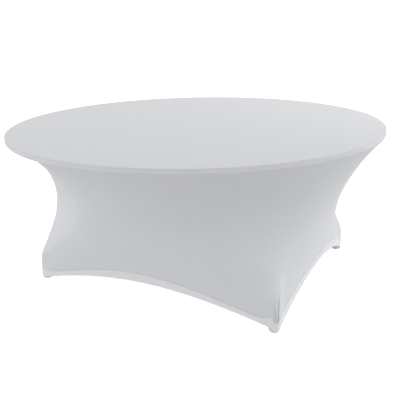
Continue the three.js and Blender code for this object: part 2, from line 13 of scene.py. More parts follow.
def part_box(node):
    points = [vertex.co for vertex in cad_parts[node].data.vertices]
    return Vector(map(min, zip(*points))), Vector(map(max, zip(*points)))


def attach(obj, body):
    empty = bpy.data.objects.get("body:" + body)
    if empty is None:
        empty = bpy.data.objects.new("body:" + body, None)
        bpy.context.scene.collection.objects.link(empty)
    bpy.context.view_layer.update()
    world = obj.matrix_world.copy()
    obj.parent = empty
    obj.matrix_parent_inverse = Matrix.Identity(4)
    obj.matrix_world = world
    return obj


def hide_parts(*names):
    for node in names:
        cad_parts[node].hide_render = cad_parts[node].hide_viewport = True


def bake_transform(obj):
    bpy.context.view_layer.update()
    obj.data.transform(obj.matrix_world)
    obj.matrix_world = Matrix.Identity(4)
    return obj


MM = 0.001

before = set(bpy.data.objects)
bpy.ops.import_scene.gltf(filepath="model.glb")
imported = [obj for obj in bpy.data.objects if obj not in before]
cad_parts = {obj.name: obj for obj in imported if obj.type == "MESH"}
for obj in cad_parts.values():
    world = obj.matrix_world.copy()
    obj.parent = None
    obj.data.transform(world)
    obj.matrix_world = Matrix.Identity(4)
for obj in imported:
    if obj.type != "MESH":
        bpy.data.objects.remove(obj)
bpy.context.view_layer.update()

# ---------------------------------------------------------------- sizes, from the frame

band_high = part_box("cover_edge_band")[1]
panel_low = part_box("tabletop_panel")[0]
trim_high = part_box("edge_trim")[1]
pocket_low, pocket_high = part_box("foot_pocket_right_rear")
hem_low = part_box("hem_band_right")[0]

RADIUS = band_high.x
HEIGHT = band_high.z
UNDERSIDE = panel_low.z
TRIM_RADIUS = trim_high.x
FOOT_X = (pocket_low.x + pocket_high.x) / 2
FOOT_Y = (pocket_low.y + pocket_high.y) / 2
POCKET_RADIUS = (pocket_high.x - pocket_low.x) / 2
HEM_ABOVE_FLOOR = hem_low.z

# ---------------------------------------------------------------- sizes of the sewing

FABRIC = 1.4 * MM  # one layer of the knit
HEM_WIDTH = 50 * MM
HEM_THICKNESS = 2.24 * MM  # the knit turned up double, pressed
HEM_CLEARANCE = 3.4 * MM  # from a foot pocket to the middle of the hem round it
SKIRT_START = 1 * MM  # below the edge band
FOOT_WRAP_ANGLE = 0.85  # how far round the foot the hem lies, each way
FOOT_WRAP_HEIGHT = 127 * MM
FOOT_WRAP_SPAN = 0.55  # the part of the rim's turn that a foot gathers, in radians
# How far the hem has risen where it leaves a foot: on an end panel, and on a long panel
# at the foot with the seam and at the one without.
END_HEM_LIFT = 15 * MM
SEAM_HEM_LIFT = 24 * MM
PLAIN_HEM_LIFT = 9 * MM

# How hard the knit pulls, as force for each unit of strain. Down the skirt it
# grows towards the hem and eases over a foot; round it, it peaks under the
# rim and at the waist; the hem's own tape pulls hardest.
DOWN_GROWTH = 2.379
FOOT_EASE = -0.3357
FOOT_EASE_SPREAD = 0.6035
RIM_PULL = 29.0
RIM_SPREAD = 0.09184
WAIST_PULL = 10.22
WAIST_AT = 0.2609
WAIST_SPREAD = 0.2437
END_PANEL_PULL = 0.1078
LONG_HEM_PULL = 2.117
END_HEM_PULL = 0.7064

FOOT_COLUMNS = 48
END_COLUMNS = 48
LONG_COLUMNS = 80
MEMBRANE_ROWS = 64
WRAPPED_ROWS = 4  # membrane rows that lie on the foot
SKIRT_RINGS = 96
SEAM_COLUMNS = 40  # to each side of a panel seam that the knit's folds can reach
RIM_SEGMENTS = 432
POUCH_SEGMENTS = 64
BEND_FROM = 0.55  # the share of the way down from which the knit bends softly over a foot
BEND_SOFTENING = 0.25
BEND_PASSES = 7

SEAM_FEET = (0, 2)  # the feet with a panel seam over them: right front and left rear
NEAR_SEAM = (0.6 * MM, 1.2 * MM, 2 * MM, 3 * MM, 4.5 * MM)  # extra rings beside a sewn edge
SEAM_TUCK = 1.5 * MM  # how deep a sewn seam draws the knit in
SEAM_TUCK_REACH = 2.2 * MM
HEM_TUCK = 0.7 * MM
HEM_TUCK_REACH = 2.6 * MM
TOE_ROLL = 6.5 * MM  # how far the hem's edge curls in under a foot
TOE_ROLL_HEIGHT = 20 * MM
CREASE_WIDTH = 2.2 * MM
FOLD_RISE = 3.6 * MM  # of the slack knit over a seamed foot, which the creases part
FOLD_REACH = 15 * MM
FOLD_HEIGHT = 140 * MM
FOLD_START = 6 * MM  # above the hem, where the fold begins to rise
# The creases over a seamed foot: the heights each passes and where round the foot it is
# there, as a share of the gathered knit to one side of the seam, then its depth.
CREASES = (
    ((0, 70 * MM, 120 * MM), (-0.40, -0.16, 0.35), 5.0 * MM),
    ((0, 75 * MM, 160 * MM), (0.14, 0.50, 0.95), 8.5 * MM),
)

STITCH_PITCH = 4 * MM
STITCH_LENGTH = 3.1 * MM
STITCH_RADIUS = 0.32 * MM
COVERSTITCH_ROWS = (3 * MM, 9 * MM)  # below the hem's top edge
GROOVE_STEP = 0.45 * MM  # between the hem's rows beside a line of stitches
FLATLOCK_PITCH = 2.6 * MM
FLATLOCK_LENGTH = 4.2 * MM
FLATLOCK_RADIUS = 0.26 * MM

CAMERA_PLACE = (1.343, -2.507, 1.270)
CAMERA_YAW = math.radians(-27.878)
CAMERA_PITCH = math.radians(-17.895)
CAMERA_ROLL = math.radians(-1.17)
CAMERA_LENS = 51.4  # in the sensor's millimetres
CAMERA_SENSOR = 36

LIGHT_TURN = math.radians(28)  # of the light's dim front, from facing the table squarely
SIDE_LIGHT = 3.03
FRONT_LIGHT = 1.02
LOW_LIGHT = 1.18
BOX_PLACE = (1.9, 2.0, 2.4)
BOX_AIM = (0.3, 0.3, HEIGHT)
BOX_SIZE = 1.6
BOX_POWER = 20
TENT_GLOW = 0.94
TENT_REACH = 30.0
TENT_HEIGHT = 60.0
TENT_GREY = (0.3, 0.3, 0.3)
TENT_GRAIN = (0.32, 0.32, 0.32)


# ---------------------------------------------------------------- the stretched skirt


def skirt_columns():
    """Round the skirt, from the right-front foot: each column's rim angle, the foot it wraps
    (or -1), how far round that foot it lies (-1 to 1), and whether it is on an end panel."""
    corner = math.atan2(FOOT_Y, FOOT_X)
    feet = np.array([-corner, corner, math.pi - corner, math.pi + corner, 2 * math.pi - corner])
    half = FOOT_COLUMNS // 2
    angle, foot, wrap, end = [], [], [], []

    def add(column_angle, column_foot, column_wrap, on_end):
        angle.append(column_angle)
        foot.append(column_foot)
        wrap.append(column_wrap)
        end.append(on_end)

    for k in range(4):
        on_end = k % 2 == 0
        count = END_COLUMNS if on_end else LONG_COLUMNS
        first = feet[k] + FOOT_WRAP_SPAN / 2
        last = feet[k + 1] - FOOT_WRAP_SPAN / 2
        for i in range(half):
            add(feet[k] + i / half * FOOT_WRAP_SPAN / 2, k, i / half, on_end)
        for i in range(count + 1):
            touching = k if i == 0 else k + 1 if i == count else -1
            add(first + (last - first) * i / count, touching, 1 if i == 0 else -1, on_end)
        for i in range(half - 1, 0, -1):
            add(feet[k + 1] - i / half * FOOT_WRAP_SPAN / 2, k + 1, -i / half, on_end)
    return np.array(angle), np.array(foot), np.array(wrap, float), np.array(end), feet


def settle(points, fixed, down, around):
    """Moves the free points of a net, closed round, to where every pull balances:
    the conjugate gradient method on the net's own equations."""
    free = (~fixed)[..., None]

    def net_pull(x):
        out = np.zeros_like(x)
        along = (x[:, 1:] - x[:, :-1]) * down[..., None]
        out[:, 1:] += along
        out[:, :-1] -= along
        across = (np.roll(x, -1, 0) - x) * around[..., None]
        return (out - across + np.roll(across, 1, 0)) * free

    total = around + np.roll(around, 1, 0)
    total[:, 1:] += down
    total[:, :-1] += down
    total = total[..., None]
    left = -net_pull(points)
    scaled = left / total
    step = scaled.copy()
    size = first = float((left * scaled).sum())
    while size > 1e-16 * first:
        pull = net_pull(step)
        share = size / float((step * pull).sum())
        points = points + share * step
        left = left - share * pull
        scaled = left / total
        size, before = float((left * scaled).sum()), size
        step = scaled + size / before * step
    return points


def stretched_skirt():
    """The middle surface of the skirt, as columns of points from the rim to the hem's edge."""
    angle, foot, wrap, end, feet = skirt_columns()
    rows = MEMBRANE_ROWS
    v = np.linspace(0, 1, rows + 1)
    after = (np.roll(angle, -1) - angle) % (2 * math.pi) / (2 * math.pi)
    width = (after + np.roll(after, 1)) / 2
    turns = (angle[:, None] - feet[None, :] + math.pi) % (2 * math.pi) - math.pi
    ease = 1 + FOOT_EASE * np.exp(-((np.abs(turns).min(1) / FOOT_EASE_SPREAD) ** 2))
    growth = 1 + DOWN_GROWTH * (v[:-1] + 0.5 / rows)
    down = (width * ease)[:, None] * rows * growth[None, :]
    waist = WAIST_PULL * np.exp(-(((v - WAIST_AT) / WAIST_SPREAD) ** 2))
    rim = RIM_PULL * np.exp(-((v / RIM_SPREAD) ** 2))
    share = np.ones(rows + 1) / rows
    share[[0, -1]] /= 2
    strip = np.where(end[:, None], END_PANEL_PULL, 1) * ((waist + rim) * share)[None, :]
    strip[:, -1] += np.where(end, END_HEM_PULL, LONG_HEM_PULL)
    around = strip / after[:, None] / (2 * math.pi) ** 2

    rim_radius = RADIUS - FABRIC / 2
    points = np.empty((len(angle), rows + 1, 3))
    points[..., 0] = (rim_radius * np.cos(angle))[:, None]
    points[..., 1] = (rim_radius * np.sin(angle))[:, None]
    points[..., 2] = (UNDERSIDE - SKIRT_START) * (1 - v)[None, :]
    fixed = np.zeros(points.shape[:2], bool)
    fixed[:, 0] = True

    held = foot >= 0
    foot_angle = feet[np.where(held, foot, 0)]
    wrap_radius = POCKET_RADIUS + HEM_CLEARANCE
    turned = foot_angle + wrap * FOOT_WRAP_ANGLE
    x = np.sign(np.cos(foot_angle)) * FOOT_X + wrap_radius * np.cos(turned)
    y = np.sign(np.sin(foot_angle)) * FOOT_Y + wrap_radius * np.sin(turned)
    lift = np.where(end, END_HEM_LIFT, np.where(wrap < 0, SEAM_HEM_LIFT, PLAIN_HEM_LIFT))
    low = HEM_ABOVE_FLOOR + lift * wrap**2
    up = (rows - np.arange(rows + 1)) / WRAPPED_ROWS
    z = low[:, None] + (FOOT_WRAP_HEIGHT - low)[:, None] * up[None, :]
    wrapped = held[:, None] & (up <= 1)[None, :]
    on_foot = np.stack(np.broadcast_arrays(x[:, None], y[:, None], z), -1)
    points[wrapped] = on_foot[wrapped]
    fixed |= wrapped
    points = settle(points, fixed, down, around)
    soft = BEND_SOFTENING * np.clip((v - BEND_FROM) / 0.1, 0, 1)[1:-1, None]
    for _ in range(BEND_PASSES):
        points[:, 1:-1] += soft * (points[:, 2:] + points[:, :-2] - 2 * points[:, 1:-1])
    return points, angle, foot, wrap


def lengths_along(points):
    """Distance along each column of points, from its first."""
    steps = np.linalg.norm(np.diff(points, axis=1), axis=2)
    return np.concatenate([np.zeros((len(points), 1)), np.cumsum(steps, 1)], 1)


def at_lengths(points, wanted):
    """Each column's points at the wanted distances from its first."""
    lengths = lengths_along(points)
    out = np.empty(wanted.shape + (3,))
    for i, line in enumerate(points):
        for axis in range(3):
            out[i, :, axis] = np.interp(wanted[i], lengths[i], line[:, axis])
    return out


def round_normals(points):
    """Outward normals of a net that is closed round."""
    around = np.roll(points, -1, 0) - np.roll(points, 1, 0)
    along = np.empty_like(points)
    along[:, 1:-1] = points[:, 2:] - points[:, :-2]
    along[:, 0] = points[:, 1] - points[:, 0]
    along[:, -1] = points[:, -1] - points[:, -2]
    normals = np.cross(along, around)
    normals /= np.linalg.norm(normals, axis=2, keepdims=True)
    return normals


# ---------------------------------------------------------------- meshes


def new_object(name, vertices, faces, material, uv=None, loop_normals=None):
    """A mesh object from arrays of vertices and four-cornered faces."""
    mesh = bpy.data.meshes.new(name)
    vertices = np.asarray(vertices, np.float32)
    faces = np.asarray(faces, np.int32)
    mesh.vertices.add(len(vertices))
    mesh.vertices.foreach_set("co", vertices.ravel())
    mesh.loops.add(faces.size)
    mesh.loops.foreach_set("vertex_index", faces.ravel())
    mesh.polygons.add(len(faces))
    mesh.polygons.foreach_set("loop_start", np.arange(len(faces), dtype=np.int32) * faces.shape[1])
    mesh.polygons.foreach_set("use_smooth", np.ones(len(faces), bool))
    mesh.update(calc_edges=True)
    if uv is not None:
        layer = mesh.uv_layers.new(name="cloth")
        layer.data.foreach_set("uv", np.asarray(uv, np.float32)[faces.ravel()].ravel())
    if loop_normals is not None:
        mesh.normals_split_custom_set(loop_normals)
    mesh.validate()
    mesh.materials.append(material)
    made = bpy.data.objects.new(name, mesh)
    bpy.context.scene.collection.objects.link(made)
    return made


def net_faces(columns, rows, first=0, flipped=False):
    """The quads of a net of vertices, columns first."""
    i, j = np.meshgrid(np.arange(columns - 1), np.arange(rows - 1), indexing="ij")
    a = (first + i * rows + j).ravel()
    quads = np.stack([a, a + 1, a + rows + 1, a + rows], 1)
    return quads[:, ::-1] if flipped else quads


def cloth(name, outer, inner, normals, uv, material):
    """A layer of cloth between an outer and an inner net, closed at its edges."""
    columns, rows = outer.shape[:2]
    count = columns * rows
    vertices = np.concatenate([outer.reshape(-1, 3), inner.reshape(-1, 3)])
    edge_down = np.arange(rows)
    edge_round = np.arange(columns) * rows
    walls = []
    for border, outward in (
        (edge_down, True),
        (edge_down + (columns - 1) * rows, False),
        (edge_round, False),
        (edge_round + rows - 1, True),
    ):
        a, b = border[:-1], border[1:]
        quads = np.stack([a, a + count, b + count, b], 1)
        walls.append(quads if outward else quads[:, ::-1])
    walls = np.concatenate(walls)
    front = net_faces(columns, rows)
    back = net_faces(columns, rows, count, flipped=True)
    faces = np.concatenate([front, back, walls])
    a, b, c, d = (vertices[walls[:, k]] for k in range(4))
    across = np.cross(c - a, d - b)
    across /= np.maximum(np.linalg.norm(across, axis=1, keepdims=True), 1e-12)
    flat = normals.reshape(-1, 3)
    loop_normals = np.concatenate(
        [
            flat[front.ravel()],
            -flat[back.ravel() - count],
            np.repeat(across, 4, axis=0),
        ]
    )
    both = np.concatenate([uv.reshape(-1, 2), uv.reshape(-1, 2)])
    return new_object(name, vertices, faces, material, both, loop_normals)


def turned_net(profile, segments):
    """The angles, and the points, of a profile of (radius, height) points turned about Z."""
    turn = np.arange(segments) / segments * 2 * math.pi
    net = np.empty((segments, len(profile), 3))
    net[..., 0] = np.cos(turn)[:, None] * profile[None, :, 0]
    net[..., 1] = np.sin(turn)[:, None] * profile[None, :, 0]
    net[..., 2] = profile[None, :, 1]
    return turn, net


def closing_fans(segments, count, ends):
    """Quads of two neighbouring slices, from a middle vertex to a ring: for each end, the
    middle's place after the net's points, the ring's row, and whether it is flipped."""
    k = np.arange(0, segments, 2)
    fans = []
    for middle, ring, flip in ends:
        a, b, c = (((k + n) % segments) * count + ring for n in (0, 1, 2))
        fan = np.stack([np.full(len(k), segments * count + middle), a, b, c], 1)
        fans.append(fan[:, ::-1] if flip else fan)
    return fans


def ring_of(name, profile, material):
    """A closed profile of (radius, height) points, counter-clockwise, turned about Z."""
    segments, count = RIM_SEGMENTS, len(profile)
    turn, vertices = turned_net(profile, segments)
    i, j = np.meshgrid(np.arange(segments), np.arange(count), indexing="ij")
    next_i, next_j = (i + 1) % segments, (j + 1) % count
    faces = np.stack(
        [i * count + j, next_i * count + j, next_i * count + next_j, i * count + next_j], -1
    ).reshape(-1, 4)
    steps = np.linalg.norm(np.roll(profile, -1, 0) - profile, axis=1)
    down = np.concatenate([[0], np.cumsum(steps)[:-1]])
    uv = np.empty((segments, count, 2))
    uv[..., 0] = (turn * RADIUS)[:, None]
    uv[..., 1] = down[None, :]
    return new_object(name, vertices.reshape(-1, 3), faces, material, uv.reshape(-1, 2))


def rounded(points, radius, steps=5):
    """A closed outline whose corners are arcs."""
    out = []
    count = len(points)
    for k in range(count):
        before, corner, after = (np.array(points[(k + n) % count], float) for n in (-1, 0, 1))
        to_before, to_after = before - corner, after - corner
        reach_before, reach_after = np.linalg.norm(to_before), np.linalg.norm(to_after)
        to_before, to_after = to_before / reach_before, to_after / reach_after
        half = math.acos(float(np.clip(to_before @ to_after, -1, 1))) / 2
        limit = 0.49 * min(reach_before, reach_after) * math.tan(half)
        size = min(radius[k] if np.ndim(radius) else radius, limit)
        inward = (to_before + to_after) / np.linalg.norm(to_before + to_after)
        middle = corner + inward * size / math.sin(half)
        start = corner + to_before * size / math.tan(half) - middle
        stop = corner + to_after * size / math.tan(half) - middle
        for s in np.linspace(0, 1, steps + 1):
            blend = start * (1 - s) + stop * s
            out.append(middle + blend / np.linalg.norm(blend) * size)
    return np.array(out)


def stitches(name, places, tangents, normals, length, radius, material, sides=6):
    """Short rounded threads lying on the cloth, one at each place."""
    turn = np.arange(sides) / sides * 2 * math.pi
    rings = [(-0.5, 0.25), (-0.38, 0.85), (0.0, 1.0), (0.38, 0.85), (0.5, 0.25)]
    template = [
        (s * length, radius * size * math.cos(a), radius * size * math.sin(a))
        for s, size in rings
        for a in turn
    ]
    template = np.array(template)
    quads = []
    for k in range(len(rings) - 1):
        for i in range(sides):
            j = (i + 1) % sides
            quads.append([k * sides + i, (k + 1) * sides + i, (k + 1) * sides + j, k * sides + j])
    half = sides // 2
    for base, flip in ((0, False), ((len(rings) - 1) * sides, True)):
        for i in range(1, half):
            cap = [base + i - 1, base + i, base + sides - 1 - i, base + (sides - i) % sides]
            quads.append(cap[::-1] if flip else cap)
    quads = np.array(quads)
    across = np.cross(normals, tangents)
    placed = (
        places[:, None, :]
        + template[None, :, :1] * tangents[:, None, :]
        + template[None, :, 1:2] * across[:, None, :]
        + template[None, :, 2:3] * normals[:, None, :]
    )
    faces = quads[None] + (np.arange(len(places)) * len(template))[:, None, None]
    return new_object(name, placed.reshape(-1, 3), faces.reshape(-1, 4), material)


def spaced_along(line, normals, pitch, start=0.5):
    """Places, tangents and normals every pitch along a line of points."""
    steps = np.linalg.norm(np.diff(line, axis=0), axis=1)
    lengths = np.concatenate([[0], np.cumsum(steps)])
    wanted = np.arange(pitch * start, lengths[-1] - pitch * 0.5, pitch)

    def pick(values):
        return np.stack([np.interp(wanted, lengths, values[:, k]) for k in range(3)], 1)

    places, up = pick(line), pick(normals)
    ahead = np.gradient(line, lengths, axis=0)
    tangents = pick(ahead)
    up /= np.linalg.norm(up, axis=1, keepdims=True)
    tangents -= (tangents * up).sum(1, keepdims=True) * up
    tangents /= np.linalg.norm(tangents, axis=1, keepdims=True)
    return places, tangents, up


# ---------------------------------------------------------------- materials


def material(name, color, roughness, metallic=0.0, sheen=0.0, coat=0.0):
    """A new material and its nodes, with the values that are the same all over it."""
    made = bpy.data.materials.new(name)
    made.use_nodes = True
    nodes, links = made.node_tree.nodes, made.node_tree.links
    shader = nodes["Principled BSDF"]
    shader.inputs["Base Color"].default_value = (*color, 1)
    shader.inputs["Roughness"].default_value = roughness
    shader.inputs["Metallic"].default_value = metallic
    shader.inputs["Sheen Weight"].default_value = sheen
    shader.inputs["Sheen Roughness"].default_value = 0.5
    shader.inputs["Coat Weight"].default_value = coat
    return made, nodes, links, shader


def node(nodes, kind, **values):
    """A shader node with its properties and input values set by name."""
    made = nodes.new(kind)
    for name, value in values.items():
        label = name.replace("_", " ")
        if label in made.inputs:
            made.inputs[label].default_value = value
        else:
            setattr(made, name, value)
    return made


def mixed_color(nodes, links, factor, low, high):
    """A colour that runs from low to high as a factor socket runs from 0 to 1."""
    ramp = nodes.new("ShaderNodeValToRGB")
    ramp.color_ramp.elements[0].color = (*low, 1)
    ramp.color_ramp.elements[1].color = (*high, 1)
    links.new(factor, ramp.inputs["Fac"])
    return ramp.outputs["Color"]


def shade(color, amount):
    """A colour made lighter or darker."""
    return tuple(min(1.0, c * amount) for c in color)


BANDS_PER_METRE = 3.1831  # of Blender's wave texture, at a scale of 1


def knit(name, color, wale=1.1 * MM, course=0.8 * MM, relief=0.10 * MM, roughness=0.82, sheen=0.25):
    """Stretch knit: rows of loops along the cloth's own directions, with painted shade in the loops'
    hollows, a soft mottle and a faint sheen.
    """
    made, nodes, links, shader = material(name, color, roughness, sheen=sheen)
    place = node(nodes, "ShaderNodeUVMap", uv_map="cloth")
    heights = []
    for size, direction in ((wale, "X"), (course, "Y")):
        wave = node(
            nodes,
            "ShaderNodeTexWave",
            wave_type="BANDS",
            bands_direction=direction,
            wave_profile="SIN",
            Scale=1 / size / BANDS_PER_METRE,
            Distortion=1.2,
            Detail=1.0,
            Detail_Scale=0.6,
        )
        links.new(place.outputs["UV"], wave.inputs["Vector"])
        heights.append(wave.outputs["Fac"])
    loops = node(nodes, "ShaderNodeMath", operation="MULTIPLY")
    links.new(heights[0], loops.inputs[0])
    links.new(heights[1], loops.inputs[1])
    bump = node(nodes, "ShaderNodeBump", Strength=0.6, Distance=relief)
    links.new(loops.outputs[0], bump.inputs["Height"])
    links.new(bump.outputs["Normal"], shader.inputs["Normal"])
    body = node(nodes, "ShaderNodeTexCoord")
    mottle = node(nodes, "ShaderNodeTexNoise", Scale=9.0, Detail=3.0, Roughness=0.55)
    links.new(body.outputs["Object"], mottle.inputs["Vector"])
    tone = mixed_color(nodes, links, mottle.outputs["Fac"], shade(color, 0.975), shade(color, 1.025))
    # Painted shade: the base colour is darkened by up to 12 % where the loops dip, as if their hollows were
    # shaded.
    loop_shade = node(nodes, "ShaderNodeMixRGB", blend_type="MULTIPLY", Fac=0.12)
    links.new(tone, loop_shade.inputs["Color1"])
    links.new(loops.outputs[0], loop_shade.inputs["Color2"])
    links.new(loop_shade.outputs["Color"], shader.inputs["Base Color"])
    spread = node(nodes, "ShaderNodeMapRange", To_Min=roughness - 0.05, To_Max=roughness + 0.06)
    links.new(mottle.outputs["Fac"], spread.inputs["Value"])
    links.new(spread.outputs["Result"], shader.inputs["Roughness"])
    return made


def thread(name, color):
    """Twisted polyester thread."""
    made, nodes, links, shader = material(name, color, 0.55, sheen=0.2)
    body = node(nodes, "ShaderNodeTexCoord")
    twist = node(nodes, "ShaderNodeTexNoise", Scale=1800.0, Detail=1.0)
    links.new(body.outputs["Object"], twist.inputs["Vector"])
    tone = mixed_color(nodes, links, twist.outputs["Fac"], shade(color, 0.9), shade(color, 1.06))
    links.new(tone, shader.inputs["Base Color"])
    bump = node(nodes, "ShaderNodeBump", Strength=0.5, Distance=0.1 * MM)
    links.new(twist.outputs["Fac"], bump.inputs["Height"])
    links.new(bump.outputs["Normal"], shader.inputs["Normal"])
    return made


def plywood(name):
    """Birch ply: long grain on its faces and its plies, light and dark in turn, on its edge."""
    face, dark = (0.60, 0.42, 0.25), (0.40, 0.25, 0.13)
    made, nodes, links, shader = material(name, face, 0.48, coat=0.15)
    body = node(nodes, "ShaderNodeTexCoord")
    stretch = node(nodes, "ShaderNodeMapping")
    stretch.inputs["Scale"].default_value = (1.2, 16, 16)
    links.new(body.outputs["Object"], stretch.inputs["Vector"])
    grain = node(nodes, "ShaderNodeTexNoise", Scale=4.0, Detail=8.0, Roughness=0.6, Distortion=0.6)
    links.new(stretch.outputs["Vector"], grain.inputs["Vector"])
    face_tone = mixed_color(nodes, links, grain.outputs["Fac"], dark, shade(face, 1.15))
    height = node(nodes, "ShaderNodeSeparateXYZ")
    links.new(body.outputs["Object"], height.inputs["Vector"])
    ply = node(nodes, "ShaderNodeMath", operation="PINGPONG")
    ply.inputs[1].default_value = 1.5 * MM
    links.new(height.outputs["Z"], ply.inputs[0])
    ply_share = node(nodes, "ShaderNodeMapRange", From_Max=1.5 * MM)
    links.new(ply.outputs[0], ply_share.inputs["Value"])
    edge_tone = mixed_color(nodes, links, ply_share.outputs["Result"], shade(dark, 0.9), face)
    facing = node(nodes, "ShaderNodeNewGeometry")
    up = node(nodes, "ShaderNodeSeparateXYZ")
    links.new(facing.outputs["True Normal"], up.inputs["Vector"])
    flat = node(nodes, "ShaderNodeMath", operation="ABSOLUTE")
    links.new(up.outputs["Z"], flat.inputs[0])
    tone = node(nodes, "ShaderNodeMixRGB")
    links.new(flat.outputs[0], tone.inputs["Fac"])
    links.new(edge_tone, tone.inputs["Color1"])
    links.new(face_tone, tone.inputs["Color2"])
    links.new(tone.outputs["Color"], shader.inputs["Base Color"])
    bump = node(nodes, "ShaderNodeBump", Strength=0.35, Distance=0.3 * MM)
    links.new(grain.outputs["Fac"], bump.inputs["Height"])
    links.new(bump.outputs["Normal"], shader.inputs["Normal"])
    return made


def speckled(name, color, roughness, scale, relief, metallic=0.0, contrast=0.12, coat=0.0, stretch=None):
    """Paint, plating, vinyl or rubber: fine grains, wear that varies slowly, and a matching bump."""
    made, nodes, links, shader = material(name, color, roughness, metallic, coat=coat)
    body = node(nodes, "ShaderNodeTexCoord")
    where = body.outputs["Object"]
    if stretch:
        mapping = node(nodes, "ShaderNodeMapping")
        mapping.inputs["Scale"].default_value = stretch
        links.new(where, mapping.inputs["Vector"])
        where = mapping.outputs["Vector"]
    grain = node(nodes, "ShaderNodeTexNoise", Scale=scale, Detail=3.0, Roughness=0.6)
    links.new(where, grain.inputs["Vector"])
    wear = node(nodes, "ShaderNodeTexNoise", Scale=11.0, Detail=4.0, Roughness=0.7)
    links.new(body.outputs["Object"], wear.inputs["Vector"])
    both = node(nodes, "ShaderNodeMath", operation="MULTIPLY_ADD")
    both.inputs[1].default_value = 0.5
    links.new(grain.outputs["Fac"], both.inputs[0])
    half = node(nodes, "ShaderNodeMath", operation="MULTIPLY")
    half.inputs[1].default_value = 0.5
    links.new(wear.outputs["Fac"], half.inputs[0])
    links.new(half.outputs[0], both.inputs[2])
    tone = mixed_color(nodes, links, both.outputs[0], shade(color, 1 - contrast), shade(color, 1 + contrast))
    links.new(tone, shader.inputs["Base Color"])
    spread = node(nodes, "ShaderNodeMapRange", To_Min=roughness - 0.1, To_Max=roughness + 0.1)
    links.new(wear.outputs["Fac"], spread.inputs["Value"])
    links.new(spread.outputs["Result"], shader.inputs["Roughness"])
    bump = node(nodes, "ShaderNodeBump", Strength=0.5, Distance=relief)
    links.new(grain.outputs["Fac"], bump.inputs["Height"])
    links.new(bump.outputs["Normal"], shader.inputs["Normal"])
    return made


WHITE = (0.645, 0.652, 0.672)
COVER_KNIT = knit("cover_knit", WHITE)
# Painted light: the hem's knit is the skirt's white made 15 % lighter, so that the hem reads as more
# brightly lit than the skirt above it.
HEM_KNIT_PAINTED_LIGHT = knit("hem_knit_painted_light", shade(WHITE, 1.15), relief=0.12 * MM)
POCKET_KNIT = knit("pocket_knit", shade(WHITE, 1.04), relief=0.14 * MM, sheen=0.1)
# The pouch's inside, which shows at its open top, is coloured a mid grey, darker than the knit outside.
POCKET_INSIDE_GREY = knit("pocket_inside_grey", (0.42, 0.425, 0.44), relief=0.16 * MM, sheen=0.05)
THREAD = thread("thread", shade(WHITE, 1.04))
PLYWOOD = plywood("birch_plywood")
EDGE_VINYL = speckled("edge_vinyl", (0.055, 0.04, 0.03), 0.5, 900.0, 0.08 * MM)
LEG_STEEL = speckled("powder_coated_steel", (0.055, 0.045, 0.038), 0.42, 1400.0, 0.06 * MM, coat=0.1)
ZINC = speckled("zinc_plate", (0.62, 0.62, 0.60), 0.34, 260.0, 0.03 * MM, metallic=1.0, stretch=(1, 1, 6))
FOOT_RUBBER = speckled("foot_rubber", (0.018, 0.018, 0.019), 0.68, 700.0, 0.1 * MM, contrast=0.25)

SLOT_MATERIALS = {
    "plywood": PLYWOOD,
    "edge_vinyl": EDGE_VINYL,
    "leg_steel": LEG_STEEL,
    "zinc_hardware": ZINC,
    "foot_rubber": FOOT_RUBBER,
}
SHARP_FROM = math.radians(35)  # an edge of the table's own pieces stays sharp from this angle
# What the table's nodes are made of, by the first words of their names.
NODE_SLOTS = {
    "tabletop_panel": "plywood",
    "edge_trim": "edge_vinyl",
    "leg_left": "leg_steel",
    "leg_right": "leg_steel",
    "crossbar": "leg_steel",
    "pivot_bar": "leg_steel",
    "foot_cap": "foot_rubber",
    "pivot_bracket": "zinc_hardware",
    "brace_bracket": "zinc_hardware",
    "pivot_screw": "zinc_hardware",
    "brace_screw": "zinc_hardware",
    "brace_lug": "zinc_hardware",
    "root_pin": "zinc_hardware",
    "leg_pin": "zinc_hardware",
    "elbow_rivet": "zinc_hardware",
    "upper_link": "leg_steel",
    "lower_link": "leg_steel",
}


def finish_table_nodes():
    """The table's own nodes keep their CAD shapes, with smooth round faces and real finishes."""
    for name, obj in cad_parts.items():
        slot = next((s for start, s in NODE_SLOTS.items() if name.startswith(start)), None)
        if slot is None:
            continue
        mesh = obj.data
        mesh.materials.clear()
        mesh.materials.append(SLOT_MATERIALS[slot])
        mesh.polygons.foreach_set("use_smooth", np.ones(len(mesh.polygons), bool))
        mesh.set_sharp_from_angle(angle=SHARP_FROM)


# ---------------------------------------------------------------- the cloth's placing, and the leg frames' sides


def follow(obj):
    """Bakes a cloth piece's transform into its mesh."""
    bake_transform(obj)


def side_name(side):
    """The name of the leg frame on one side of x = 0."""
    return "left" if side < 0 else "right"


# ---------------------------------------------------------------- the cover


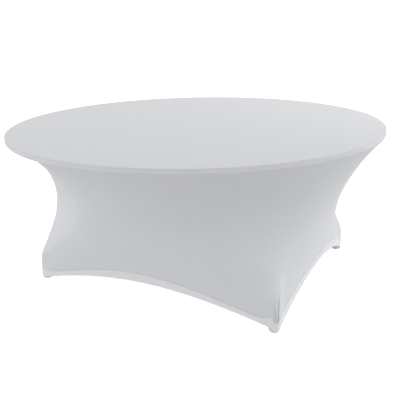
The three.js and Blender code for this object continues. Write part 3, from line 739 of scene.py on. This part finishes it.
def cover_top():
    """The flat round piece that lies on the table top, turned down at its edge into the rim seam."""
    edge = RADIUS - 0.3 * MM
    under = HEIGHT - FABRIC
    roll = 1.5 * MM
    bend = np.linspace(0, math.pi / 2, 7)
    outer_bend = np.stack([edge - roll + roll * np.sin(bend), HEIGHT - roll + roll * np.cos(bend)], 1)
    rings = np.linspace(0, 1, 41)[1:] ** 0.8 * (edge - roll - 4 * MM)
    top = np.concatenate([np.stack([rings, np.full(40, HEIGHT)], 1), outer_bend])
    lip = np.array([[edge - 0.5 * MM, under], [edge - 1.2 * MM, under]])
    bottom = np.stack([rings[::-1], np.full(40, under)], 1)
    profile = np.concatenate([top, lip, bottom])
    segments, count = RIM_SEGMENTS, len(profile)
    net = turned_net(profile, segments)[1]
    vertices = np.concatenate([net.reshape(-1, 3), [[0, 0, HEIGHT], [0, 0, under]]])
    i, j = np.meshgrid(np.arange(segments), np.arange(count - 1), indexing="ij")
    next_i = (i + 1) % segments
    quads = np.stack(
        [i * count + j, i * count + j + 1, next_i * count + j + 1, next_i * count + j], -1
    ).reshape(-1, 4)
    fans = closing_fans(segments, count, ((0, 0, False), (1, count - 1, True)))
    faces = np.concatenate([quads, *fans])
    made = new_object("cover_top_fabric", vertices, faces, COVER_KNIT, vertices[:, :2])
    made.data.set_sharp_from_angle(angle=math.radians(50))
    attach(made, "tabletop")
    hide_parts("cover_top")
    return made


def edge_band():
    """The narrow band round the table's edge, drawn in where it is sewn above and below."""
    top, bottom = HEIGHT - 1.5 * MM, UNDERSIDE
    outline = [
        (TRIM_RADIUS + 0.1 * MM, top),
        (TRIM_RADIUS + 0.1 * MM, bottom - 0.4 * MM),
        (RADIUS - 0.9 * MM, bottom - 0.4 * MM),
        (RADIUS, bottom + 1.8 * MM),
        (RADIUS, top - 2.2 * MM),
        (RADIUS - 1.0 * MM, top),
    ]
    made = ring_of("cover_edge_band_fabric", rounded(outline, 0.8 * MM), COVER_KNIT)
    made.data.set_sharp_from_angle(angle=math.radians(60))
    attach(made, "tabletop")
    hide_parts("cover_edge_band")
    return made


def hem_rows():
    """Distances down the hem, close together at its rolled edges and at its stitching."""
    roll = HEM_THICKNESS / 2
    edge = roll * (1 - np.cos(np.linspace(0, math.pi / 2, 6)))
    groove = [row + n * GROOVE_STEP for row in COVERSTITCH_ROWS for n in (-2, -1, 0, 1, 2)]
    middle = np.linspace(12 * MM, HEM_WIDTH - 3 * MM, 12)
    return np.concatenate([edge, groove, middle, (HEM_WIDTH - edge)[::-1]])


def hem_half_thickness(distance):
    """Half the hem's thickness at a distance from its top edge: rounded at both edges."""
    roll = HEM_THICKNESS / 2
    from_edge = np.minimum(np.minimum(distance, HEM_WIDTH - distance), roll)
    return roll * np.sqrt(np.maximum(1 - (1 - from_edge / roll) ** 2, 0.02))


class Skirt:
    """The settled skirt, cut into a panel net and a hem net with their normals and cloth directions."""

    def __init__(self):
        points, self.angle, self.foot, self.wrap = stretched_skirt()
        whole = lengths_along(points)[:, -1]
        rings = np.linspace(0, 1, SKIRT_RINGS + 1)
        near_seam = np.array(NEAR_SEAM)[None, :]
        above_hem = whole - HEM_WIDTH
        body = above_hem[:, None] * rings[None, :]
        near_rim = np.broadcast_to(near_seam, (len(whole), near_seam.shape[1]))
        near_hem = above_hem[:, None] - near_seam
        self.down = np.sort(np.concatenate([body, near_rim, near_hem], 1), 1)
        self.hem_down = np.broadcast_to(hem_rows(), (len(whole), len(hem_rows())))
        self.panel = at_lengths(points, self.down)
        self.hem = at_lengths(points, above_hem[:, None] + self.hem_down)
        self.panel_normals = round_normals(self.panel)
        self.hem_normals = round_normals(self.hem)
        self.round = self.distance_round(self.panel)
        self.above_hem = above_hem[:, None] - self.down
        self.smooth_panel = self.panel
        self.press_in_seams()

    @staticmethod
    def distance_round(net):
        """How far round the skirt each column lies, along its top edge."""
        steps = np.linalg.norm(np.roll(net[:, 0], -1, 0) - net[:, 0], axis=1)
        return np.concatenate([[0], np.cumsum(steps)[:-1]])

    def middle_of_foot(self, foot):
        """The column over the middle of a foot: 0 right front, 1 right rear, 2 left rear, 3 left front."""
        return int(np.nonzero((self.foot % 4 == foot) & (self.wrap == 0))[0][0])

    def middle_of_side(self, side_y):
        """The column nearest x = 0 at the front or rear."""
        return int(np.argmin(np.abs(np.angle(np.exp(1j * (self.angle - side_y * math.pi / 2))))))

    @staticmethod
    def across_from(net, column):
        """The columns beside one column of a net, and how far round from it each lies, row by row."""
        order = (column + np.arange(-SEAM_COLUMNS, SEAM_COLUMNS + 1)) % len(net)
        taken = net[order]
        steps = np.linalg.norm(np.diff(taken, axis=0), axis=2)
        from_first = np.concatenate([np.zeros((1, net.shape[1])), np.cumsum(steps, 0)])
        return order, from_first - from_first[SEAM_COLUMNS]

    def press_in_seams(self):
        """Draws the knit in where it is sewn, under the rim and above the hem, lifts the fold over each
        seamed foot with its creases, and rolls the hem's edge in under the feet."""
        tuck = -SEAM_TUCK * np.exp(-((self.down / SEAM_TUCK_REACH) ** 2))
        tuck -= HEM_TUCK * np.exp(-((self.above_hem / HEM_TUCK_REACH) ** 2))
        for foot in SEAM_FEET:
            column = self.middle_of_foot(foot)
            order, across = self.across_from(self.panel, column)
            up = self.above_hem[order]
            round_foot = np.arange(-SEAM_COLUMNS, SEAM_COLUMNS + 1) / (FOOT_COLUMNS / 2)
            risen = np.clip(1 - up / FOLD_HEIGHT, 0, 1) * (1 - np.exp(-((up / FOLD_START) ** 2)))
            tuck[order] += FOLD_RISE * risen * np.exp(-((across / FOLD_REACH) ** 4))
            climb = up[SEAM_COLUMNS]
            for heights, shares, depth in CREASES:
                at = np.interp(climb, heights, shares)
                centre = [np.interp(at[k], round_foot, across[:, k]) for k in range(len(at))]
                fade = np.clip(1 - climb / heights[-1], 0, 1) ** 0.4
                width = CREASE_WIDTH * (1 + np.clip(climb / heights[-1], 0, 1))
                line = np.exp(-(((across - centre) / width) ** 2))
                tuck[order] -= depth * fade * line
        self.panel = self.panel + tuck[..., None] * self.panel_normals
        self.panel_normals = round_normals(self.panel)
        curl = TOE_ROLL * np.clip(1 - self.hem[..., 2] / TOE_ROLL_HEIGHT, 0, 1) ** 2
        self.hem = self.hem - curl[..., None] * self.hem_normals
        self.hem_normals = round_normals(self.hem)

    def cut(self, first, last):
        """The columns from first round to last, as positions in the nets."""
        count = len(self.angle)
        return np.arange(first, last + 1 if last > first else last + 1 + count) % count



def cloth_piece(name, net, normals, half, down, round_at, columns, fabric_material, lift=0.0):
    """A piece of the skirt or hem: the net's columns, with its thickness to either side."""
    taken, facing = net[columns], normals[columns]
    half = half[columns][..., None]
    along = np.unwrap(round_at[columns], period=float(round_at.max() + round_at[1]))
    uv = np.stack(np.broadcast_arrays(along[:, None], down[columns]), -1)
    outer = taken + facing * (half + lift)
    inner = taken - facing * (half - lift)
    return cloth(name, outer, inner, facing, uv, fabric_material)


def skirt_panels(skirt):
    """Two panels, seamed over the right-front and the left-rear foot, each cut at x = 0 into two parts."""
    front, rear = skirt.middle_of_side(-1), skirt.middle_of_side(1)
    right_seam, left_seam = skirt.middle_of_foot(0), skirt.middle_of_foot(2)
    half = np.full(skirt.down.shape, FABRIC / 2)
    for name, node_name, side, first, last in (
        ("skirt_rear_right_right_part", "skirt_panel_rear_right", 1, right_seam, rear),
        ("skirt_rear_right_left_part", "skirt_panel_rear_right", -1, rear, left_seam),
        ("skirt_front_left_left_part", "skirt_panel_front_left", -1, left_seam, front),
        ("skirt_front_left_right_part", "skirt_panel_front_left", 1, front, right_seam),
    ):
        columns = skirt.cut(first, last)
        net = (skirt.panel, skirt.panel_normals, half, skirt.down, skirt.round)
        made = cloth_piece(name, *net, columns, COVER_KNIT)
        follow(made)
        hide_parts(node_name)


def hem_bands(skirt):
    """The doubled hem round the bottom, in one band between each two feet, with its coverstitch."""
    front, rear = skirt.middle_of_side(-1), skirt.middle_of_side(1)
    right_front, right_rear, left_rear, left_front = (skirt.middle_of_foot(k) for k in range(4))
    half = hem_half_thickness(skirt.hem_down)
    lift = (HEM_THICKNESS - FABRIC) / 2
    for name, node_name, side, first, last in (
        ("hem_right", "hem_band_right", 1, right_front, right_rear),
        ("hem_rear_right_part", "hem_band_rear", 1, right_rear, rear),
        ("hem_rear_left_part", "hem_band_rear", -1, rear, left_rear),
        ("hem_left", "hem_band_left", -1, left_rear, left_front),
        ("hem_front_left_part", "hem_band_front", -1, left_front, front),
        ("hem_front_right_part", "hem_band_front", 1, front, right_front),
    ):
        columns = skirt.cut(first, last)
        net = (skirt.hem, skirt.hem_normals, half, skirt.hem_down, skirt.round)
        made = cloth_piece(name, *net, columns, HEM_KNIT_PAINTED_LIGHT, lift)
        follow(made)
        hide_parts(node_name)
        found = []
        for row in COVERSTITCH_ROWS:
            at = int(np.argmin(np.abs(skirt.hem_down[0] - row)))
            facing = skirt.hem_normals[columns, at]
            surface = skirt.hem[columns, at] + facing * (half[0, at] + lift)
            found.append(spaced_along(surface, facing, STITCH_PITCH))
        rows = [np.concatenate(part) for part in zip(*found)]
        sewn = stitches(f"{name}_coverstitch", *rows, STITCH_LENGTH, STITCH_RADIUS, THREAD)
        follow(sewn)


def panel_seams(skirt):
    """Flatlock stitching across each panel seam, from the edge band down to the hem."""
    for foot, side, name in ((0, 1, "right_front"), (2, -1, "left_rear")):
        column = skirt.middle_of_foot(foot)
        facing = skirt.panel_normals[column]
        line = skirt.panel[column] + facing * (FABRIC / 2)
        places, tangents, normals = spaced_along(line[3:], facing[3:], FLATLOCK_PITCH)
        rows = (places, np.cross(normals, tangents), normals)
        sewn = stitches(f"flatlock_seam_{name}", *rows, FLATLOCK_LENGTH, FLATLOCK_RADIUS, THREAD)
        follow(sewn)


def foot_pocket(side, depth):
    """The pouch sewn into a corner of the hem, with a bound edge, which the table's foot stands in."""
    name = f"foot_pocket_{side_name(side)}_{'front' if depth < 0 else 'rear'}"
    low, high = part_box(name)
    centre = (low + high) / 2
    wall, sole = FABRIC, 1.6 * MM
    outer, inner = POCKET_RADIUS, POCKET_RADIUS - wall
    round_off = 10 * MM
    bend = np.linspace(0, math.pi / 2, 9)
    outside = [(0.0, low.z)] + [
        (outer - round_off + round_off * math.sin(a), low.z + round_off - round_off * math.cos(a))
        for a in bend
    ]
    binding = 1.1 * MM
    ring = np.linspace(-0.35 * math.pi, 1.35 * math.pi, 12)
    middle = (outer - wall / 2, high.z - binding)
    bound = [(middle[0] + binding * math.cos(a), middle[1] + binding * math.sin(a)) for a in ring]
    small = round_off - wall
    inside = [
        (inner - small + small * math.sin(a), low.z + sole + small - small * math.cos(a))
        for a in bend[::-1]
    ] + [(0.0, low.z + sole)]
    outline = np.array(outside + bound + inside)
    grey_from = len(outside) + len(bound) - 2
    segments = POUCH_SEGMENTS
    turn = np.arange(segments) / segments * 2 * math.pi
    radii, heights = outline[1:-1, 0], outline[1:-1, 1]
    count = len(radii)
    # A sewn pouch isn't a true cylinder: its wall sags a little between its corners.
    sag = 1 - 0.02 * (1 + np.cos(3 * turn + side + depth))[:, None] * (
        (heights - low.z) / (high.z - low.z)
    )[None, :]
    net = np.empty((segments, count, 3))
    net[..., 0] = centre.x + np.cos(turn)[:, None] * radii[None, :] * sag
    net[..., 1] = centre.y + np.sin(turn)[:, None] * radii[None, :] * sag
    net[..., 2] = heights[None, :]
    ends = [[centre.x, centre.y, low.z], [centre.x, centre.y, low.z + sole]]
    vertices = np.concatenate([net.reshape(-1, 3), ends])
    i, j = np.meshgrid(np.arange(segments), np.arange(count - 1), indexing="ij")
    next_i = (i + 1) % segments
    quads = np.stack(
        [i * count + j, next_i * count + j, next_i * count + j + 1, i * count + j + 1], -1
    ).reshape(-1, 4)
    fans = closing_fans(segments, count, ((0, 0, True), (1, count - 1, False)))
    faces = np.concatenate([quads, *fans])
    steps = np.concatenate([[0], np.cumsum(np.hypot(np.diff(radii), np.diff(heights)))])
    uv = np.empty((segments, count, 2))
    uv[..., 0] = (turn * outer)[:, None]
    uv[..., 1] = steps[None, :]
    uv = np.concatenate([uv.reshape(-1, 2), [[0, 0], [0, steps[-1]]]])
    made = new_object(f"{name}_pouch", vertices, faces, POCKET_KNIT, uv)
    made.data.materials.append(POCKET_INSIDE_GREY)
    inside_faces = np.zeros(len(faces), np.int32)
    inside_faces[: len(quads)] = (j.ravel() >= grey_from).astype(np.int32)
    inside_faces[-len(fans[1]) :] = 1
    made.data.polygons.foreach_set("material_index", inside_faces)
    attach(made, f"leg_frame_{side_name(side)}")
    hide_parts(name)


def cover():
    """Every piece of the cover, in its sewn order."""
    skirt = Skirt()
    cover_top()
    edge_band()
    skirt_panels(skirt)
    hem_bands(skirt)
    panel_seams(skirt)
    for side in (-1, 1):
        for depth in (-1, 1):
            foot_pocket(side, depth)


# ---------------------------------------------------------------- camera, light and floor


def camera():
    """In front of the table and to its right, looking down at it a little."""
    yaw, pitch, roll = CAMERA_YAW, CAMERA_PITCH, CAMERA_ROLL
    ahead = Vector(
        (math.sin(yaw) * math.cos(pitch), math.cos(yaw) * math.cos(pitch), math.sin(pitch))
    )
    level = Vector((math.cos(yaw), -math.sin(yaw), 0))
    upright = level.cross(ahead)
    right = level * math.cos(roll) + upright * math.sin(roll)
    up = upright * math.cos(roll) - level * math.sin(roll)
    data = bpy.data.cameras.new("camera")
    data.lens = CAMERA_LENS
    data.sensor_width = CAMERA_SENSOR
    made = bpy.data.objects.new("camera", data)
    turned = Matrix((right, up, -ahead)).transposed().to_4x4()
    made.matrix_world = Matrix.Translation(Vector(CAMERA_PLACE)) @ turned
    bpy.context.scene.collection.objects.link(made)
    bpy.context.scene.camera = made


def daylight():
    """A tent of soft light: bright panels to the sides, a dim front, and light from below."""
    world = bpy.data.worlds.new("studio")
    world.use_nodes = True
    nodes, links = world.node_tree.nodes, world.node_tree.links

    def math_of(operation, *values):
        made = node(nodes, "ShaderNodeMath", operation=operation)
        for socket, value in zip(made.inputs, values):
            if isinstance(value, float):
                socket.default_value = value
            else:
                links.new(value, socket)
        return made.outputs[0]

    def towards(direction):
        made = node(nodes, "ShaderNodeVectorMath", operation="DOT_PRODUCT")
        made.inputs[1].default_value = direction
        links.new(coordinates.outputs["Generated"], made.inputs[0])
        return made.outputs["Value"]

    coordinates = node(nodes, "ShaderNodeTexCoord")
    front = (math.sin(LIGHT_TURN), -math.cos(LIGHT_TURN), 0)
    side = (math.cos(LIGHT_TURN), math.sin(LIGHT_TURN), 0)
    height = towards((0, 0, 1))
    sides = math_of("MULTIPLY", math_of("POWER", math_of("ABSOLUTE", towards(side)), 2.0), SIDE_LIGHT)
    ahead = math_of("MAXIMUM", towards(front), 0.0)
    ahead = math_of("MULTIPLY", math_of("POWER", ahead, 2.0), FRONT_LIGHT)
    above = math_of("MULTIPLY", math_of("ADD", sides, ahead), math_of("GREATER_THAN", height, 0.0))
    below = math_of("MULTIPLY", math_of("MAXIMUM", math_of("MULTIPLY", height, -1.0), 0.0), LOW_LIGHT)
    links.new(math_of("ADD", above, below), nodes["Background"].inputs["Strength"])
    nodes["Background"].inputs["Color"].default_value = (0.99, 0.995, 1.0, 1)
    bpy.context.scene.world = world


def soft_box(name, place, target, size, power):
    """A round area light, aimed at a point."""
    data = bpy.data.lights.new(name, "AREA")
    data.shape = "DISK"
    data.size = size
    data.energy = power
    made = bpy.data.objects.new(name, data)
    made.location = place
    made.rotation_mode = "QUATERNION"
    made.rotation_quaternion = (Vector(target) - Vector(place)).to_track_quat("-Z", "Y")
    bpy.context.scene.collection.objects.link(made)


def tent():
    """A pale floor and walls that glow a little, so that they read as white; the cloth isn't lit by them."""
    made, nodes, links, shader = material("pale_tent", TENT_GREY, 0.9)
    shader.inputs["Emission Color"].default_value = (1, 1, 1, 1)
    shader.inputs["Emission Strength"].default_value = TENT_GLOW
    body = node(nodes, "ShaderNodeTexCoord")
    grain = node(nodes, "ShaderNodeTexNoise", Scale=40.0, Detail=2.0)
    links.new(body.outputs["Object"], grain.inputs["Vector"])
    tone = mixed_color(nodes, links, grain.outputs["Fac"], TENT_GREY, TENT_GRAIN)
    links.new(tone, shader.inputs["Base Color"])
    corners = [(-1, -1), (1, -1), (1, 1), (-1, 1)]
    vertices = [(TENT_REACH * x, TENT_REACH * y, z) for z in (0, TENT_HEIGHT) for x, y in corners]
    walls = [[i, (i + 1) % 4, (i + 1) % 4 + 4, i + 4] for i in range(4)]
    made = new_object("tent", vertices, [[0, 1, 2, 3], *walls], made)
    made.visible_diffuse = False
    made.visible_glossy = False
    made.visible_shadow = False


camera()
daylight()
soft_box("back_right_box", BOX_PLACE, BOX_AIM, BOX_SIZE, BOX_POWER)
tent()
bpy.context.scene.view_settings.view_transform = "Standard"
finish_table_nodes()
cover()
